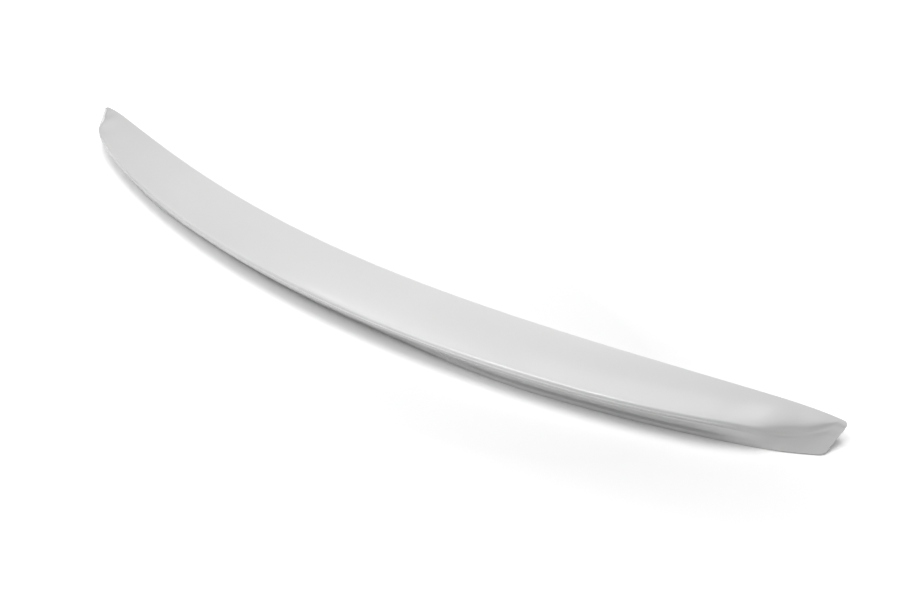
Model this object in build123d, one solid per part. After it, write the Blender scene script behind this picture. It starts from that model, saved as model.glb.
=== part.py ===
from build123d import *
import math
import os

# Trunk-lid lip spoiler, one thin-walled moulding, lying on a table as it comes to rest.
# X runs across the car, +Y points to the front of the car and Z is up. A lid is crowned,
# so off the car the part leans back on its rear edge, and its underside rises forward.
# All sizes are in millimetres and degrees. A share is a position along half the span,
# 0 on the centre line and 1 at an end.

# Plan outline
half_span_front = 550.0             # centre line to the front corner of an end
half_span_rear = 542.2              # centre line to the rear corner of an end
depth = 73.0                        # leading edge to rear edge on the centre line
front_sweep = 76.5                  # leading edge: how far its ends lie forward of its middle
front_bow_ratio = 0.18              # extra roundness of the leading edge in its middle
rear_sweep = 110.9                  # rear edge: how far its ends lie forward of its middle
front_corner_sweep = 4.6            # front corners swept back from the leading edge's curve
rear_corner_sweep = 6.0             # rear corners swept forward from the rear edge's curve
corner_share = 0.88                 # share where the corners begin to sweep
front_corner_round = 2.5            # plan radius of the front corners
rear_corner_round = 6.0             # plan radius of the rear corners
lean_angle_middle = 19.2            # rise of the underside towards the front, on the centre line
lean_angle_end = 28.7               # the same at an end
lean_angle_corner = 6.9             # and what the sweep of the corners adds there

# Lip on the rear edge, heights from the underside
crest_height = 30.5                 # top of the lip
crest_setback = 6.3                 # crest forward of the rear edge
lip_face_height = 4.7               # crest down to the sharp lower edge of the lip
lip_face_depth = 4.8                # how far that edge stands out behind the crest
foot_height = 5.0                   # rear face of the foot, below the undercut of the lip
foot_slant = 2.0                    # how far this face slants forward
foot_recess = 8.0                   # foot drawn in under the lip, on the centre line
foot_share = 0.2                    # share where the foot begins to come out
foot_out_share = 0.55               # share where it has come out to the rear edge
ledge_depth = 2.0                   # how far it then stands out from the wall of the undercut
ledge_rise = 1.8                    # rise of the foot's top towards that wall
ledge_round = 1.2                   # reach of the rounding where they meet
crest_round = 1.4                   # reach of the rounding on the crest
lip_edge_round = 0.8                # reach of the rounding on the lip edge
round_limit_ratio = 0.33            # longest reach of a rounding, as a part of the flat beside it
face_break = 0.5                    # how far the lip's rear face stands out along its middle

# Top surface
nose_thickness = 2.8                # blunt leading edge
nose_round = 1.2                    # rounding of its upper corner
nose_slope_ratio = 0.55             # rise of the top behind the leading edge, and in front of the
crest_slope_ratio = 1.5             # crest, as parts of its mean rise

# Ends, where the crest sweeps forward to the front corner and falls to a crease
sweep_share = 0.60                  # share where the crest begins to leave the rear edge
sweep = 10.5                        # how far this takes it forward at an end
turn_share = 0.915                  # share where it turns off towards the front corner
turned_share = 0.985                # share where it has come to the leading edge
turn_power = 3.3                    # how suddenly it turns
fall_share = 0.845                  # share where the crest begins to fall
shoulder_height = 11.2              # height to which it would fall at an end without the turn
flatten_share = 0.86                # share where the dish of the top begins to flatten
flat_share = 0.95                   # share where the top is flat from edge to crease
tip_inset = 6.0                     # crease behind the leading edge at an end
tip_height = 3.2                    # height of the crease at an end
tip_edge = 1.8                      # height of the rear edge at an end
fade_share = 0.80                   # share where the undercut of the lip begins to fade
faded_share = 0.96                  # share where it is gone
plain_lip_edge_ratio = 0.4          # where lip edge and ledge end on the plain face of an end,
plain_ledge_ratio = 0.8             # as parts of the way from the crease down to the rear edge

# Hollow underside between the two bonding lands
wall = 3.0                          # skin over the hollow
front_land = 20.0                   # width of the land along the leading edge
rear_land = 5.0                     # width of the rear land, from the wall of the undercut
hollow_share = 0.86                 # share where the hollow ends
cut_margin = 2.0                    # how far a cutting body reaches past the skin

# Ribs that the skin is drawn over
half_ribs = 14                      # ribs from the centre line to an end
rib_crowding = 1.9                  # how much closer they stand at the ends
corner_step_share = 0.005           # share over which the outline's direction at a corner is taken
halvings = 40                       # steps that find a point on the top


def climb(share, start, end):
    # 0 up to the start share, then evenly up to 1 at the end share
    return min(1.0, max(0.0, (abs(share) - start) / (end - start)))


def ease(share, start, end):
    # the same, leaving 0 and reaching 1 smoothly
    part = climb(share, start, end)
    return part * part * (3.0 - 2.0 * part)


def mix(near, far, part):
    return near + (far - near) * part


def rear_point(share):
    corner = rear_corner_sweep * climb(share, corner_share, 1.0) ** 2
    return Vector(share * half_span_rear, rear_sweep * share ** 2 + corner - depth)


def front_point(share):
    corner = front_corner_sweep * climb(share, corner_share, 1.0) ** 2
    bow = 1.0 + front_bow_ratio * (1.0 - share ** 2)
    return Vector(share * half_span_front, front_sweep * share ** 2 * bow - corner)


def lean(share):
    corner = lean_angle_corner * climb(share, corner_share, 1.0) ** 2
    return math.radians(mix(lean_angle_middle, lean_angle_end, share ** 2) + corner)


def rib_plane(share):
    # local X runs along the underside from the rear edge forward, local Y stands off it
    ahead = (front_point(share) - rear_point(share)).normalized()
    along = ahead * math.cos(lean(share)) + Vector(0, 0, math.sin(lean(share)))
    return Plane(origin=rear_point(share), x_dir=along, z_dir=(ahead.Y, -ahead.X, 0))


def chord(share):
    return (front_point(share) - rear_point(share)).length / math.cos(lean(share))


def crest_point(share):
    swept = crest_setback + sweep * climb(share, sweep_share, 1.0) ** 2
    turned = climb(share, turn_share, turned_share) ** turn_power
    fallen = mix(crest_height, shoulder_height, climb(share, fall_share, 1.0))
    lowered = climb(share, turn_share, 1.0) ** turn_power
    return Vector(mix(swept, chord(share) - tip_inset, turned), mix(fallen, tip_height, lowered))


def top_curve(share):
    # control points of the top, from the leading edge back to the crest
    crest = crest_point(share)
    start = Vector(chord(share) - nose_round, nose_thickness)
    reach = start.X - crest.X
    flat = (crest.Y - start.Y) / reach
    flattened = ease(share, flatten_share, flat_share)
    near = flat * mix(nose_slope_ratio, 1.0, flattened)
    far = flat * mix(crest_slope_ratio, 1.0, flattened)
    return [start, start + Vector(-1, near) * (reach / 3.0),
            crest + Vector(1, -far) * (reach / 3.0), crest]


def rear_curve(share):
    # crest, lip edge, foot of the undercut's wall, top and bottom of the foot's rear face
    crest = crest_point(share)
    faded = ease(share, fade_share, faded_share)
    out = ease(share, foot_share, foot_out_share)
    base = Vector(foot_recess * (1.0 - out), 0)
    low = ease(share, fall_share, 1.0)
    foot = base + mix(Vector(foot_slant, foot_height), Vector(0, tip_edge), low)
    fall = foot - crest
    lip_edge = crest + mix(Vector(-lip_face_depth, -lip_face_height), fall * plain_lip_edge_ratio, faded)
    ledge = mix(foot + Vector(ledge_depth * out, ledge_rise), crest + fall * plain_ledge_ratio, faded)
    return [crest, lip_edge, ledge, foot, base]


def toward(start, end, reach):
    # the point at that reach from the start towards the end
    way = end - start
    return start + way.normalized() * min(reach, way.length * round_limit_ratio)


def outline(share, runs):
    # closed outline in the rib's plane, one straight or curved edge for each run of points
    plane = rib_plane(share)
    return Wire([Edge.make_bezier(*[plane.from_local_coords(p) for p in run]) for run in runs])


def skin_outline(share):
    end = chord(share)
    nose, nose_handle, crest_handle, crest = top_curve(share)
    crest, lip_edge, ledge, foot, base_rear = rear_curve(share)
    top_end = toward(crest, crest_handle, crest_round)
    face_start = toward(crest, lip_edge, crest_round)
    face_end = toward(lip_edge, crest, lip_edge_round)
    wall_start = toward(lip_edge, ledge, lip_edge_round)
    wall_end = toward(ledge, lip_edge, ledge_round)
    ledge_start = toward(ledge, foot, ledge_round)
    down = (face_end - face_start).normalized()
    face_line = (face_start + face_end) * 0.5 + Vector(down.Y, -down.X) * face_break
    base_front = Vector(end, 0)
    nose_low = Vector(end, nose_thickness - nose_round)
    nose_corner = Vector(end, nose_thickness)
    return outline(share, [
        [base_rear, base_front],
        [base_front, nose_low],
        [nose_low, nose_corner, nose],
        [nose, nose_handle, crest_handle, top_end],
        [top_end, crest, face_start],
        [face_start, face_line],
        [face_line, face_end],
        [face_end, lip_edge, wall_start],
        [wall_start, wall_end],
        [wall_end, ledge, ledge_start],
        [ledge_start, foot],
        [foot, base_rear],
    ])


def top_at(share, distance):
    # the top surface at that distance from the rear edge, and how it falls forward there
    curve = Edge.make_bezier(*top_curve(share))
    low, high = 0.0, 1.0
    for _ in range(halvings):
        middle = (low + high) / 2.0
        if (curve @ middle).X > distance:
            low = middle
        else:
            high = middle
    way = curve % low
    return Vector(distance, (curve @ low).Y), way.Y / way.X


def hollow_outline(share):
    ledge = rear_curve(share)[2]
    rear = ledge.X + rear_land
    front = chord(share) - front_land
    above_rear, rear_fall = top_at(share, rear)
    above_front, front_fall = top_at(share, front)
    rear_top = above_rear - Vector(0, wall * math.hypot(1.0, rear_fall))
    front_top = above_front - Vector(0, wall * math.hypot(1.0, front_fall))
    handle = (front - rear) / 3.0
    rear_foot = Vector(rear, -cut_margin)
    front_foot = Vector(front, -cut_margin)
    return outline(share, [
        [rear_foot, front_foot],
        [front_foot, front_top],
        [front_top, front_top - Vector(1, front_fall) * handle,
         rear_top + Vector(1, rear_fall) * handle, rear_top],
        [rear_top, rear_foot],
    ])


def rib_shares(limit):
    right = [limit * (1.0 - (1.0 - rib / half_ribs) ** rib_crowding) for rib in range(half_ribs + 1)]
    return [-share for share in reversed(right[1:])] + right


def corner_cut(corner, one_way, other_way, radius):
    # upright body outside the arc that rounds a plan corner
    inward = (one_way + other_way).normalized()
    half_angle = math.radians(one_way.get_angle(other_way)) / 2.0
    centre = corner + inward * (radius / math.sin(half_angle))
    reach = radius / math.tan(half_angle)
    start = corner + one_way * reach
    stop = corner + other_way * reach
    outside = corner - inward * cut_margin
    rim = ThreePointArc(start, centre - inward * radius, stop)
    sides = Polyline(stop, stop - (centre - stop).normalized() * cut_margin, outside,
                     start - (centre - start).normalized() * cut_margin, start)
    return extrude(make_face([rim, sides]), 2.0 * crest_height, both=True)


def corner_cuts():
    front_way = (front_point(1.0 - corner_step_share) - front_point(1.0)).normalized()
    rear_way = (rear_point(1.0 - corner_step_share) - rear_point(1.0)).normalized()
    back = (rear_point(1.0) - front_point(1.0)).normalized()
    right = [corner_cut(front_point(1.0), front_way, back, front_corner_round),
             corner_cut(rear_point(1.0), rear_way, -back, rear_corner_round)]
    return right + [mirror(cut, about=Plane.YZ) for cut in right]


def spoiler_shell():
    skin = Solid.make_loft([skin_outline(share) for share in rib_shares(1.0)])
    hollow = Solid.make_loft([hollow_outline(share) for share in rib_shares(hollow_share)])
    shell = skin - [hollow] - corner_cuts()
    # the origin lies under the middle of the part's box
    return shell.moved(Location((0, -shell.bounding_box().center().Y, 0)))


os.makedirs("parts", exist_ok=True)
export_step(spoiler_shell(), "parts/spoiler_shell.step")
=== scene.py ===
import bpy
import bmesh
import math
from mathutils import Matrix, Vector


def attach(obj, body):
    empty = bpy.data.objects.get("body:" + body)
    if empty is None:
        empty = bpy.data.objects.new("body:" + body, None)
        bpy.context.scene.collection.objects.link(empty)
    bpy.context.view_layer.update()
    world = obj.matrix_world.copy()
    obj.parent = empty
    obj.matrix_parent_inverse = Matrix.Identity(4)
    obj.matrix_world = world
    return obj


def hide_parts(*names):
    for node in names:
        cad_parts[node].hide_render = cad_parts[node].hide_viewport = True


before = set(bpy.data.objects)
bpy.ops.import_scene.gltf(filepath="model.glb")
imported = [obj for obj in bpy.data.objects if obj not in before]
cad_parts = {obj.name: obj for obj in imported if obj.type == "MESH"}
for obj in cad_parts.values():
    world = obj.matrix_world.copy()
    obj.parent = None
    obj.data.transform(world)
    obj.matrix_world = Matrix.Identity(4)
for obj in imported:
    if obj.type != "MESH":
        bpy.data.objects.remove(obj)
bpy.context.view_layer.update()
print("frame loaded:", sorted(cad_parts))

mm = 0.001

# the camera as the photo was taken, metres and degrees
photo = {
    "width": 920, "focal": 620.0,  # pixels
    "azimuth": 34.126, "elevation": 42.908, "roll": 0.194,
    "distance": 0.6855, "target": (0.1696, 0.0258, 0.0), "clip": (0.01, 50.0),
    "sensor": 36.0,  # millimetres
}


def makeCamera(p):
    a = math.radians(p["azimuth"])
    e = math.radians(p["elevation"])
    back = Vector((math.sin(a) * math.cos(e), -math.cos(a) * math.cos(e), math.sin(e)))
    right = Vector((math.cos(a), math.sin(a), 0.0))
    up = back.cross(right)
    data = bpy.data.cameras.new("photoCamera")
    data.sensor_width = p["sensor"]
    data.lens = p["focal"] * p["sensor"] / p["width"]
    data.clip_start, data.clip_end = p["clip"]
    cam = bpy.data.objects.new("photoCamera", data)
    bpy.context.collection.objects.link(cam)
    turn = Matrix((right, up, back)).transposed() @ Matrix.Rotation(math.radians(p["roll"]), 3, "Z")
    place = Matrix.Translation(Vector(p["target"]) + back * p["distance"])
    cam.matrix_world = place @ turn.to_4x4()
    bpy.context.scene.camera = cam


makeCamera(photo)
print("camera set")

# the shell: one moulding, thin at its leading edge, with a raised lip along its rear edge
# a share is a place along half the span, 0 on the centre line and 1 at an end
shellForm = {
    # outline seen from above
    "halfSpanFront": 550 * mm, "halfSpanRear": 542.2 * mm, "depth": 73 * mm,
    "frontSweep": 76.5 * mm, "frontBow": 0.18, "rearSweep": 110.9 * mm,
    "frontCornerSweep": 4.6 * mm, "rearCornerSweep": 6 * mm, "cornerShare": 0.88,
    "frontCornerReach": 3.6 * mm, "rearCornerReach": 2.4 * mm, "roundShare": 0.95,
    "leanMiddle": 19.2, "leanEnd": 28.7, "leanCorner": 6.9,  # degrees
    # lip
    "crestHeight": 30.5 * mm, "crestSetback": 6.3 * mm, "lipDepth": 4.8 * mm, "lipHeight": 4.7 * mm,
    "footHeight": 5 * mm, "footSlant": 2 * mm, "footRecess": 8 * mm, "footShares": (0.2, 0.55),
    "ledgeDepth": 3.2 * mm, "ledgeRise": 1 * mm, "ledgeRound": 1.2 * mm,
    "crestRound": 2.2 * mm, "lipEdgeRound": 0.8 * mm, "faceBreak": 0.5 * mm,
    "roundLimit": 0.33,  # the most of a stretch that one round takes up
    # two fine lines along the lip's rear face, upper and lower
    "lineSpots": (0.45, 0.86), "lineWidth": 1 * mm, "lineDepth": 0.4 * mm,
    "lineLimit": 0.9,  # half a line fills at most this much of the way to the nearer edge
    # top
    "noseThickness": 2.8 * mm, "noseRound": 1.2 * mm, "noseSlope": 0.55, "crestSlope": 1.5,
    # ends: the crest sweeps forward, falls and turns into a crease, and the top rolls over to it
    "sweepShare": 0.6, "sweep": 10.5 * mm, "turnShares": (0.915, 0.985), "turnPower": 3.3,
    "fallShare": 0.845, "fallSoft": 0.03, "shoulderHeight": 11.2 * mm, "flattenShares": (0.86, 0.95),
    "dropShares": (0.885, 0.95), "creaseDrop": 7 * mm, "creaseShift": 3.6 * mm,
    "rearRoll": 0.8, "rearRollShares": (0.835, 0.935),
    "frontRoll": 0.3, "frontRollShares": (0.93, 0.97),
    "tipInset": 6 * mm, "tipHeight": 3.2 * mm, "tipEdge": 1.8 * mm, "fadeShares": (0.8, 0.96),
    "plainLipEdge": 0.4, "plainLedge": 0.8,
    # hollow underside between the two bonding lands
    "wall": 3 * mm, "frontLand": 20 * mm, "rearLand": 5 * mm, "hollowShare": 0.86,
    "roofHalvings": 30, "slopeProbe": 0.01,
    # mesh: ribs across the span, closer together towards the ends, and steps along each rib
    "halfRibs": 110, "crowding": 1.9, "ribGap": 0.001,
    "steps": {
        "nose": 2, "noseRound": 4, "top": 36, "crestRound": 6, "face": 2, "line": 4, "lipEdgeRound": 5,
        "rearWall": 6, "ledgeRound": 4, "ledge": 2, "foot": 3, "rearLand": 2, "frontLand": 3,
        "hollowSide": 3, "roof": 12,
    },
    "weld": 0.001 * mm, "collapse": 0.0001 * mm, "sharpAngle": 28,  # degrees
}


def climb(share, start, end):
    return min(1.0, max(0.0, (abs(share) - start) / (end - start)))


def ease(share, start, end):
    part = climb(share, start, end)
    return part * part * (3.0 - 2.0 * part)


def softStart(past, soft):
    # 0 before the start and straight after it, with a curve between
    begun = max(0.0, past + soft)
    if begun < 2.0 * soft:
        return begun ** 2 / (4.0 * soft)
    return begun - soft


def mix(near, far, part):
    return near + (far - near) * part


def rearPoint(f, share):
    corner = f["rearCornerSweep"] * climb(share, f["cornerShare"], 1.0) ** 2
    return Vector((share * f["halfSpanRear"], f["rearSweep"] * share ** 2 + corner - f["depth"]))


def frontPoint(f, share):
    corner = f["frontCornerSweep"] * climb(share, f["cornerShare"], 1.0) ** 2
    bow = 1.0 + f["frontBow"] * (1.0 - share ** 2)
    return Vector((share * f["halfSpanFront"], f["frontSweep"] * share ** 2 * bow - corner))


def leanAt(f, share):
    corner = f["leanCorner"] * climb(share, f["cornerShare"], 1.0) ** 2
    return math.radians(mix(f["leanMiddle"], f["leanEnd"], share ** 2) + corner)


def chordAt(f, share):
    return (frontPoint(f, share) - rearPoint(f, share)).length / math.cos(leanAt(f, share))


def placeAt(f, share, point):
    # section to frame: x runs along the underside from the rear edge, y stands off it
    ahead = (frontPoint(f, share) - rearPoint(f, share)).normalized()
    c, s = math.cos(leanAt(f, share)), math.sin(leanAt(f, share))
    flat = rearPoint(f, share) + ahead * (point.x * c - point.y * s)
    return Vector((flat.x, flat.y, point.x * s + point.y * c))


def crestAt(f, share):
    dropped = ease(share, *f["dropShares"])
    swept = f["crestSetback"] + f["sweep"] * climb(share, f["sweepShare"], 1.0) ** 2
    swept += f["creaseShift"] * dropped
    gone = softStart(abs(share) - f["fallShare"], f["fallSoft"])
    fallen = mix(f["crestHeight"], f["shoulderHeight"], gone / (1.0 - f["fallShare"]))
    fallen -= f["creaseDrop"] * dropped
    turned = climb(share, *f["turnShares"]) ** f["turnPower"]
    lowered = climb(share, f["turnShares"][0], 1.0) ** f["turnPower"]
    return Vector((mix(swept, chordAt(f, share) - f["tipInset"], turned),
                   mix(fallen, f["tipHeight"], lowered)))


def topCurve(f, share):
    crest = crestAt(f, share)
    start = Vector((chordAt(f, share) - f["noseRound"], f["noseThickness"]))
    reach = start.x - crest.x
    flat = (crest.y - start.y) / reach
    flattened = ease(share, *f["flattenShares"])
    near = flat * mix(f["noseSlope"], 1.0, flattened)
    near += f["frontRoll"] * ease(share, *f["frontRollShares"])
    far = flat * mix(f["crestSlope"], 1.0, flattened)
    far -= f["rearRoll"] * ease(share, *f["rearRollShares"])
    return [start, start + Vector((-1, near)) * (reach / 3.0),
            crest + Vector((1, -far)) * (reach / 3.0), crest]


def rearCurve(f, share):
    crest = crestAt(f, share)
    faded = ease(share, *f["fadeShares"])
    out = ease(share, *f["footShares"])
    base = Vector((f["footRecess"] * (1.0 - out), 0))
    low = ease(share, f["fallShare"], 1.0)
    foot = base + mix(Vector((f["footSlant"], f["footHeight"])), Vector((0, f["tipEdge"])), low)
    fall = foot - crest
    lipEdge = crest + mix(Vector((-f["lipDepth"], -f["lipHeight"])), fall * f["plainLipEdge"], faded)
    stepped = foot + Vector((f["ledgeDepth"] * out, f["ledgeRise"]))
    ledge = mix(stepped, crest + fall * f["plainLedge"], faded)
    return lipEdge, ledge, foot, base


def bezier(points, t):
    while len(points) > 1:
        points = [a.lerp(b, t) for a, b in zip(points, points[1:])]
    return points[0]


def toward(f, start, end, reach):
    way = end - start
    return start + way.normalized() * min(reach, way.length * f["roundLimit"])


def roofAt(f, curve, x):
    # the hollow's roof at that x, one wall below the top, and its slope there
    low, high = 0.0, 1.0
    for halving in range(f["roofHalvings"]):
        middle = (low + high) / 2.0
        if bezier(curve, middle).x > x:
            low = middle
        else:
            high = middle
    way = bezier(curve, low + f["slopeProbe"]) - bezier(curve, low - f["slopeProbe"])
    slope = way.y / way.x
    return Vector((x, bezier(curve, low).y - f["wall"] * math.hypot(1.0, slope))), slope


def faceRuns(f, start, end, spot, depth):
    # one half of the lip's rear face, with a fine line across it at that spot
    way = (end - start).normalized()
    inward = Vector((-way.y, way.x)) * (2.0 * depth)
    room = (end - start).length * min(spot, 1.0 - spot)
    half = min(f["lineWidth"] / 2.0, room * f["lineLimit"])
    middle = start.lerp(end, spot)
    upper, lower = middle - way * half, middle + way * half
    steps = f["steps"]
    return [([start, upper], steps["face"], "skin"),
            ([upper, middle + inward, lower], steps["line"], "skin"),
            ([lower, end], steps["face"], "skin")]


def sectionRuns(f, share, hollow):
    # closed section: runs of control points, each with its steps and the surface it is on
    top = topCurve(f, share)
    crest = top[3]
    lipEdge, ledge, foot, baseRear = rearCurve(f, share)
    end = chordAt(f, share)
    topEnd = toward(f, crest, top[2], f["crestRound"])
    faceStart = toward(f, crest, lipEdge, f["crestRound"])
    faceEnd = toward(f, lipEdge, crest, f["lipEdgeRound"])
    wallStart = toward(f, lipEdge, ledge, f["lipEdgeRound"])
    wallEnd = toward(f, ledge, lipEdge, f["ledgeRound"])
    ledgeStart = toward(f, ledge, foot, f["ledgeRound"])
    down = (faceEnd - faceStart).normalized()
    faceLine = (faceStart + faceEnd) * 0.5 + Vector((down.y, -down.x)) * f["faceBreak"]
    lineDepth = f["lineDepth"] * (1.0 - ease(share, *f["fadeShares"]))
    baseFront = Vector((end, 0))
    noseLow = Vector((end, f["noseThickness"] - f["noseRound"]))
    rearX, frontX = ledge.x + f["rearLand"], end - f["frontLand"]
    rearFoot, frontFoot = Vector((rearX, 0)), Vector((frontX, 0))
    # without a hollow its runs lie flat on the underside
    rearTop, rearHandle, frontHandle, frontTop = rearFoot, rearFoot, frontFoot, frontFoot
    if hollow:
        handle = (frontX - rearX) / 3.0
        rearTop, rearSlope = roofAt(f, top, rearX)
        frontTop, frontSlope = roofAt(f, top, frontX)
        rearHandle = rearTop + Vector((1, rearSlope)) * handle
        frontHandle = frontTop - Vector((1, frontSlope)) * handle
    steps = f["steps"]
    return [
        ([baseFront, noseLow], steps["nose"], "skin"),
        ([noseLow, Vector((end, f["noseThickness"])), top[0]], steps["noseRound"], "skin"),
        ([top[0], top[1], top[2], topEnd], steps["top"], "skin"),
        ([topEnd, crest, faceStart], steps["crestRound"], "skin"),
        *faceRuns(f, faceStart, faceLine, f["lineSpots"][0], lineDepth),
        *faceRuns(f, faceLine, faceEnd, f["lineSpots"][1], lineDepth),
        ([faceEnd, lipEdge, wallStart], steps["lipEdgeRound"], "skin"),
        ([wallStart, wallEnd], steps["rearWall"], "skin"),
        ([wallEnd, ledge, ledgeStart], steps["ledgeRound"], "skin"),
        ([ledgeStart, foot], steps["ledge"], "skin"),
        ([foot, baseRear], steps["foot"], "skin"),
        ([baseRear, rearFoot], steps["rearLand"], "under"),
        ([rearFoot, rearTop], steps["hollowSide"], "under"),
        ([rearTop, rearHandle, frontHandle, frontTop], steps["roof"], "under"),
        ([frontTop, frontFoot], steps["hollowSide"], "under"),
        ([frontFoot, baseFront], steps["frontLand"], "under"),
    ]


def sectionPoints(f, share, hollow):
    runs = sectionRuns(f, share, hollow)
    return [bezier(run, i / steps) for run, steps, part in runs for i in range(steps)]


def cornerInset(f, along, width):
    # how far the rounded corners of the outline draw a point in
    inset = 0.0
    for gap, reach in ((along, f["rearCornerReach"]), (width - along, f["frontCornerReach"])):
        inset += reach * max(0.0, 1.0 - max(0.0, gap) / reach) ** 2
    return inset


def ribPoints(f, share, hollow):
    points = sectionPoints(f, share, hollow)
    rounding = ease(share, f["roundShare"], 1.0)
    if rounding == 0.0:
        return [placeAt(f, share, p) for p in points]
    width = (frontPoint(f, 1.0) - rearPoint(f, 1.0)).length
    placed = []
    for i, p in enumerate(points):
        inset = cornerInset(f, width * p.x / chordAt(f, share), width) / f["halfSpanFront"]
        drawn = share - math.copysign(inset * rounding, share)
        placed.append(placeAt(f, drawn, sectionPoints(f, drawn, hollow)[i]))
    return placed


def ribShares(f):
    # two ribs stand where the hollow ends, one with it and one without
    n, hollowEnd = f["halfRibs"], f["hollowShare"]
    right = [1.0 - (1.0 - k / n) ** f["crowding"] for k in range(n + 1)]
    inner = [s for s in right if s < hollowEnd - f["ribGap"]] + [hollowEnd]
    outer = [hollowEnd] + [s for s in right if s > hollowEnd + f["ribGap"]]
    half = [(s, True) for s in inner] + [(s, False) for s in outer]
    return [(-s, hollow) for s, hollow in reversed(half[1:])] + half


def makeShell(f, materials):
    ribs = [ribPoints(f, share, hollow) for share, hollow in ribShares(f)]
    parts = [part for run, steps, part in sectionRuns(f, 0.0, True) for i in range(steps)]
    bm = bmesh.new()
    rows = [[bm.verts.new(p) for p in rib] for rib in ribs]
    for row, after in zip(rows, rows[1:]):
        for i, part in enumerate(parts):
            j = (i + 1) % len(parts)
            face = bm.faces.new((row[i], row[j], after[j], after[i]))
            face.material_index = 1 if part == "under" else 0
    bm.faces.new(rows[0])
    bm.faces.new(reversed(rows[-1]))
    bmesh.ops.remove_doubles(bm, verts=bm.verts, dist=f["weld"])
    bmesh.ops.dissolve_degenerate(bm, edges=bm.edges, dist=f["collapse"])
    bmesh.ops.recalc_face_normals(bm, faces=bm.faces)
    for face in bm.faces:
        face.smooth = True
    for edge in bm.edges:
        edge.smooth = edge.calc_face_angle(0.0) < math.radians(f["sharpAngle"])
    # the frame's origin is in the middle of the depth
    spread = [v.co.y for v in bm.verts]
    bmesh.ops.translate(bm, verts=bm.verts, vec=(0, -(min(spread) + max(spread)) / 2.0, 0))
    mesh = bpy.data.meshes.new("lipShell")
    bm.to_mesh(mesh)
    bm.free()
    for mat in materials:
        mesh.materials.append(mat)
    shell = bpy.data.objects.new("lipShell", mesh)
    bpy.context.collection.objects.link(shell)
    return shell


def feed(tree, socket, value):
    # a socket is linked, a number is set
    if isinstance(value, bpy.types.NodeSocket):
        tree.links.new(value, socket)
    else:
        socket.default_value = value


def mathNode(tree, operation, one, two):
    node = tree.nodes.new("ShaderNodeMath")
    node.operation = operation
    feed(tree, node.inputs[0], one)
    feed(tree, node.inputs[1], two)
    return node.outputs[0]


def rangeNode(tree, value, start, end):
    # maps the start pair of levels to the end pair
    node = tree.nodes.new("ShaderNodeMapRange")
    for name, level in zip(("From Min", "From Max", "To Min", "To Max"), (*start, *end)):
        node.inputs[name].default_value = level
    tree.links.new(value, node.inputs["Value"])
    return node.outputs["Result"]


def noiseNode(tree, place, scale, detail):
    node = tree.nodes.new("ShaderNodeTexNoise")
    tree.links.new(place, node.inputs["Vector"])
    feed(tree, node.inputs["Scale"], scale)
    node.inputs["Detail"].default_value = detail
    return node.outputs["Fac"]


# finish: smooth light grey plastic, half gloss, with faint marks along the span
skinFinish = {
    "dark": (0.665, 0.665, 0.665, 1), "light": (0.7, 0.7, 0.7, 1),
    "roughness": (0.33, 0.43), "coat": 0.6, "coatRoughness": 0.12,
    "grain": 900.0, "streak": 1.0, "bump": 0.1, "bumpDepth": 0.1 * mm,
}
insideFinish = {
    "dark": (0.56, 0.56, 0.56, 1), "light": (0.64, 0.64, 0.64, 1),
    "roughness": (0.5, 0.64), "coat": 0.0, "coatRoughness": 0.3,
    "grain": 500.0, "streak": 0.4, "bump": 0.35, "bumpDepth": 0.15 * mm,
}
# streaks follow the bow of the part, and the mottling is broad
grainPlan = {
    "bow": 0.3, "streakAlong": 2.5, "streakAcross": 330.0, "streakScale": 1.0, "streakDetail": 3.0,
    "mottle": 11.0, "mottleDetail": 3.0, "grainDetail": 2.0,
    # how much of each goes into an output
    "mottleInTone": 0.6, "grainInTone": 0.4, "mottleInGloss": 0.5, "streakInGloss": 0.5,
    "streakInHeight": 0.5,
    "glossSpan": (0.3, 0.7),  # the stretch of Gloss that a finish's roughness is spread over
}


def makeGrainGroup(g):
    group = bpy.data.node_groups.new("mouldedGrain", "ShaderNodeTree")
    for name in ("Grain Scale", "Streak"):
        group.interface.new_socket(name=name, in_out="INPUT", socket_type="NodeSocketFloat")
    for name in ("Tone", "Gloss", "Height"):
        group.interface.new_socket(name=name, in_out="OUTPUT", socket_type="NodeSocketFloat")
    nodes, links = group.nodes, group.links
    given = nodes.new("NodeGroupInput").outputs
    result = nodes.new("NodeGroupOutput").inputs
    place = nodes.new("ShaderNodeTexCoord").outputs["Object"]

    def times(one, two):
        return mathNode(group, "MULTIPLY", one, two)

    def plus(one, two):
        return mathNode(group, "ADD", one, two)

    # straighten the bow, then stretch along the span
    split = nodes.new("ShaderNodeSeparateXYZ")
    links.new(place, split.inputs[0])
    x, y, z = split.outputs
    straight = mathNode(group, "SUBTRACT", y, times(times(x, x), g["bow"]))
    join = nodes.new("ShaderNodeCombineXYZ")
    links.new(times(x, g["streakAlong"]), join.inputs["X"])
    links.new(times(straight, g["streakAcross"]), join.inputs["Y"])
    links.new(times(z, g["streakAcross"]), join.inputs["Z"])
    streaks = noiseNode(group, join.outputs[0], g["streakScale"], g["streakDetail"])
    streaks = times(streaks, given["Streak"])
    grain = noiseNode(group, place, given["Grain Scale"], g["grainDetail"])
    mottle = noiseNode(group, place, g["mottle"], g["mottleDetail"])
    tone = plus(times(mottle, g["mottleInTone"]), times(grain, g["grainInTone"]))
    gloss = plus(times(mottle, g["mottleInGloss"]), times(streaks, g["streakInGloss"]))
    links.new(tone, result["Tone"])
    links.new(gloss, result["Gloss"])
    links.new(plus(grain, times(streaks, g["streakInHeight"])), result["Height"])
    return group


grainGroup = makeGrainGroup(grainPlan)


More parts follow.
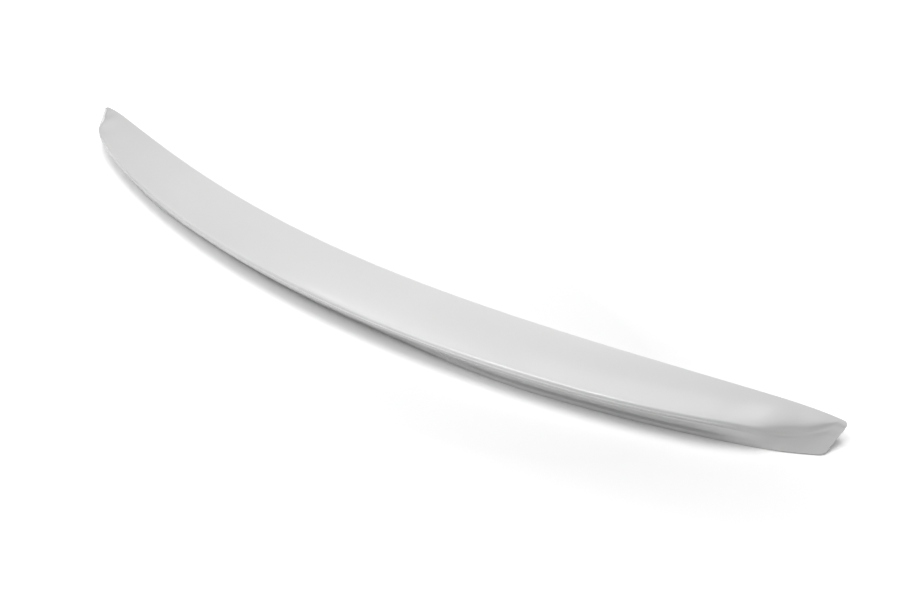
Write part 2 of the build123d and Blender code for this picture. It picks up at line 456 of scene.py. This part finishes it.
def makeFinish(name, p):
    mat = bpy.data.materials.new(name)
    mat.use_nodes = True
    tree = mat.node_tree
    nodes, links = tree.nodes, tree.links
    shader = nodes["Principled BSDF"]
    grain = nodes.new("ShaderNodeGroup")
    grain.node_tree = grainGroup
    grain.inputs["Grain Scale"].default_value = p["grain"]
    grain.inputs["Streak"].default_value = p["streak"]
    tone = nodes.new("ShaderNodeMix")
    tone.data_type = "RGBA"
    links.new(grain.outputs["Tone"], tone.inputs["Factor"])
    tone.inputs["A"].default_value = p["dark"]
    tone.inputs["B"].default_value = p["light"]
    links.new(tone.outputs["Result"], shader.inputs["Base Color"])
    roughness = rangeNode(tree, grain.outputs["Gloss"], grainPlan["glossSpan"], p["roughness"])
    links.new(roughness, shader.inputs["Roughness"])
    bump = nodes.new("ShaderNodeBump")
    bump.inputs["Strength"].default_value = p["bump"]
    bump.inputs["Distance"].default_value = p["bumpDepth"]
    links.new(grain.outputs["Height"], bump.inputs["Height"])
    links.new(bump.outputs["Normal"], shader.inputs["Normal"])
    shader.inputs["Coat Weight"].default_value = p["coat"]
    shader.inputs["Coat Roughness"].default_value = p["coatRoughness"]
    return mat


finishes = [makeFinish("satinGrey", skinFinish), makeFinish("mouldedInside", insideFinish)]
shell = makeShell(shellForm, finishes)
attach(shell, "root")
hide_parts("spoiler_shell")
print("shell made:", len(shell.data.polygons), "faces")

# stage: a pale floor that runs out of the picture and reads as white paper
floorPlan = {
    "size": 8.0, "colour": (0.9, 0.9, 0.9, 1), "roughness": 0.9, "glow": (1, 1, 1, 1),
    "reach": (0.42, 0.16),  # half axes of the oval round the part where the lift begins
    "lift": (0.025, 1.0), "liftSpan": (1.0, 3.3),  # the span in sizes of that oval
}


def makeFloor(p):
    bpy.ops.mesh.primitive_plane_add(size=p["size"], location=(0, 0, 0))
    floor = bpy.context.object
    floor.name = "paperFloor"
    mat = bpy.data.materials.new("paper")
    mat.use_nodes = True
    tree = mat.node_tree
    nodes, links = tree.nodes, tree.links
    shader = nodes["Principled BSDF"]
    shader.inputs["Base Color"].default_value = p["colour"]
    shader.inputs["Roughness"].default_value = p["roughness"]
    shader.inputs["Specular IOR Level"].default_value = 0.0
    shader.inputs["Emission Color"].default_value = p["glow"]
    place = nodes.new("ShaderNodeTexCoord")
    oval = nodes.new("ShaderNodeVectorMath")
    oval.operation = "DIVIDE"
    oval.inputs[1].default_value = (*p["reach"], 1.0)
    links.new(place.outputs["Object"], oval.inputs[0])
    far = nodes.new("ShaderNodeVectorMath")
    far.operation = "LENGTH"
    links.new(oval.outputs[0], far.inputs[0])
    lift = rangeNode(tree, far.outputs["Value"], p["liftSpan"], p["lift"])
    # the lift is seen and mirrored, but lights nothing matt
    path = nodes.new("ShaderNodeLightPath").outputs
    seen = mathNode(tree, "MAXIMUM", path["Is Camera Ray"], path["Is Glossy Ray"])
    seen = mathNode(tree, "MAXIMUM", seen, path["Is Transmission Ray"])
    links.new(mathNode(tree, "MULTIPLY", seen, lift), shader.inputs["Emission Strength"])
    # clear from below, so the underside of the part can be looked at
    clear = nodes.new("ShaderNodeBsdfTransparent")
    side = nodes.new("ShaderNodeNewGeometry")
    either = nodes.new("ShaderNodeMixShader")
    links.new(side.outputs["Backfacing"], either.inputs["Fac"])
    links.new(shader.outputs["BSDF"], either.inputs[1])
    links.new(clear.outputs["BSDF"], either.inputs[2])
    links.new(either.outputs["Shader"], nodes["Material Output"].inputs["Surface"])
    floor.data.materials.append(mat)


makeFloor(floorPlan)
print("floor laid")

# light: soft boxes round the part, azimuth from +X and elevation in degrees
# a level of 1 shows a colour as it is written on a face square to that light
# in their names front is the camera's side, -Y, and rear is the far side
lightPlan = {
    "reach": 2.2, "side": 0.9,
    "boxes": {
        "overhead": (90, 86, 0.7), "frontLeft": (237, 66, 0.4), "rearLeft": (120, 15, 0.26),
        "frontLow": (270, 20, 0.1), "rear": (90, 32, 0.055), "leftLow": (207, 22, 0.05),
    },
    "roomColour": (1, 1, 1, 1),
}


def makeLights(p):
    # white to look at past the floor, but no light
    world = bpy.data.worlds.new("whiteRoom")
    bpy.context.scene.world = world
    world.use_nodes = True
    nodes, links = world.node_tree.nodes, world.node_tree.links
    room = nodes["Background"]
    room.inputs["Color"].default_value = p["roomColour"]
    path = nodes.new("ShaderNodeLightPath")
    links.new(path.outputs["Is Camera Ray"], room.inputs["Strength"])
    for name, (azimuth, elevation, level) in p["boxes"].items():
        a, e = math.radians(azimuth), math.radians(elevation)
        way = Vector((math.cos(a) * math.cos(e), math.sin(a) * math.cos(e), math.sin(e)))
        data = bpy.data.lights.new(name, "AREA")
        data.shape = "SQUARE"
        data.size = p["side"]
        data.energy = level * (math.pi * p["reach"]) ** 2
        lamp = bpy.data.objects.new(name, data)
        bpy.context.collection.objects.link(lamp)
        lamp.location = way * p["reach"]
        lamp.rotation_euler = way.to_track_quat("Z", "Y").to_euler()


makeLights(lightPlan)
bpy.context.scene.view_settings.view_transform = "Standard"
print("lights set")
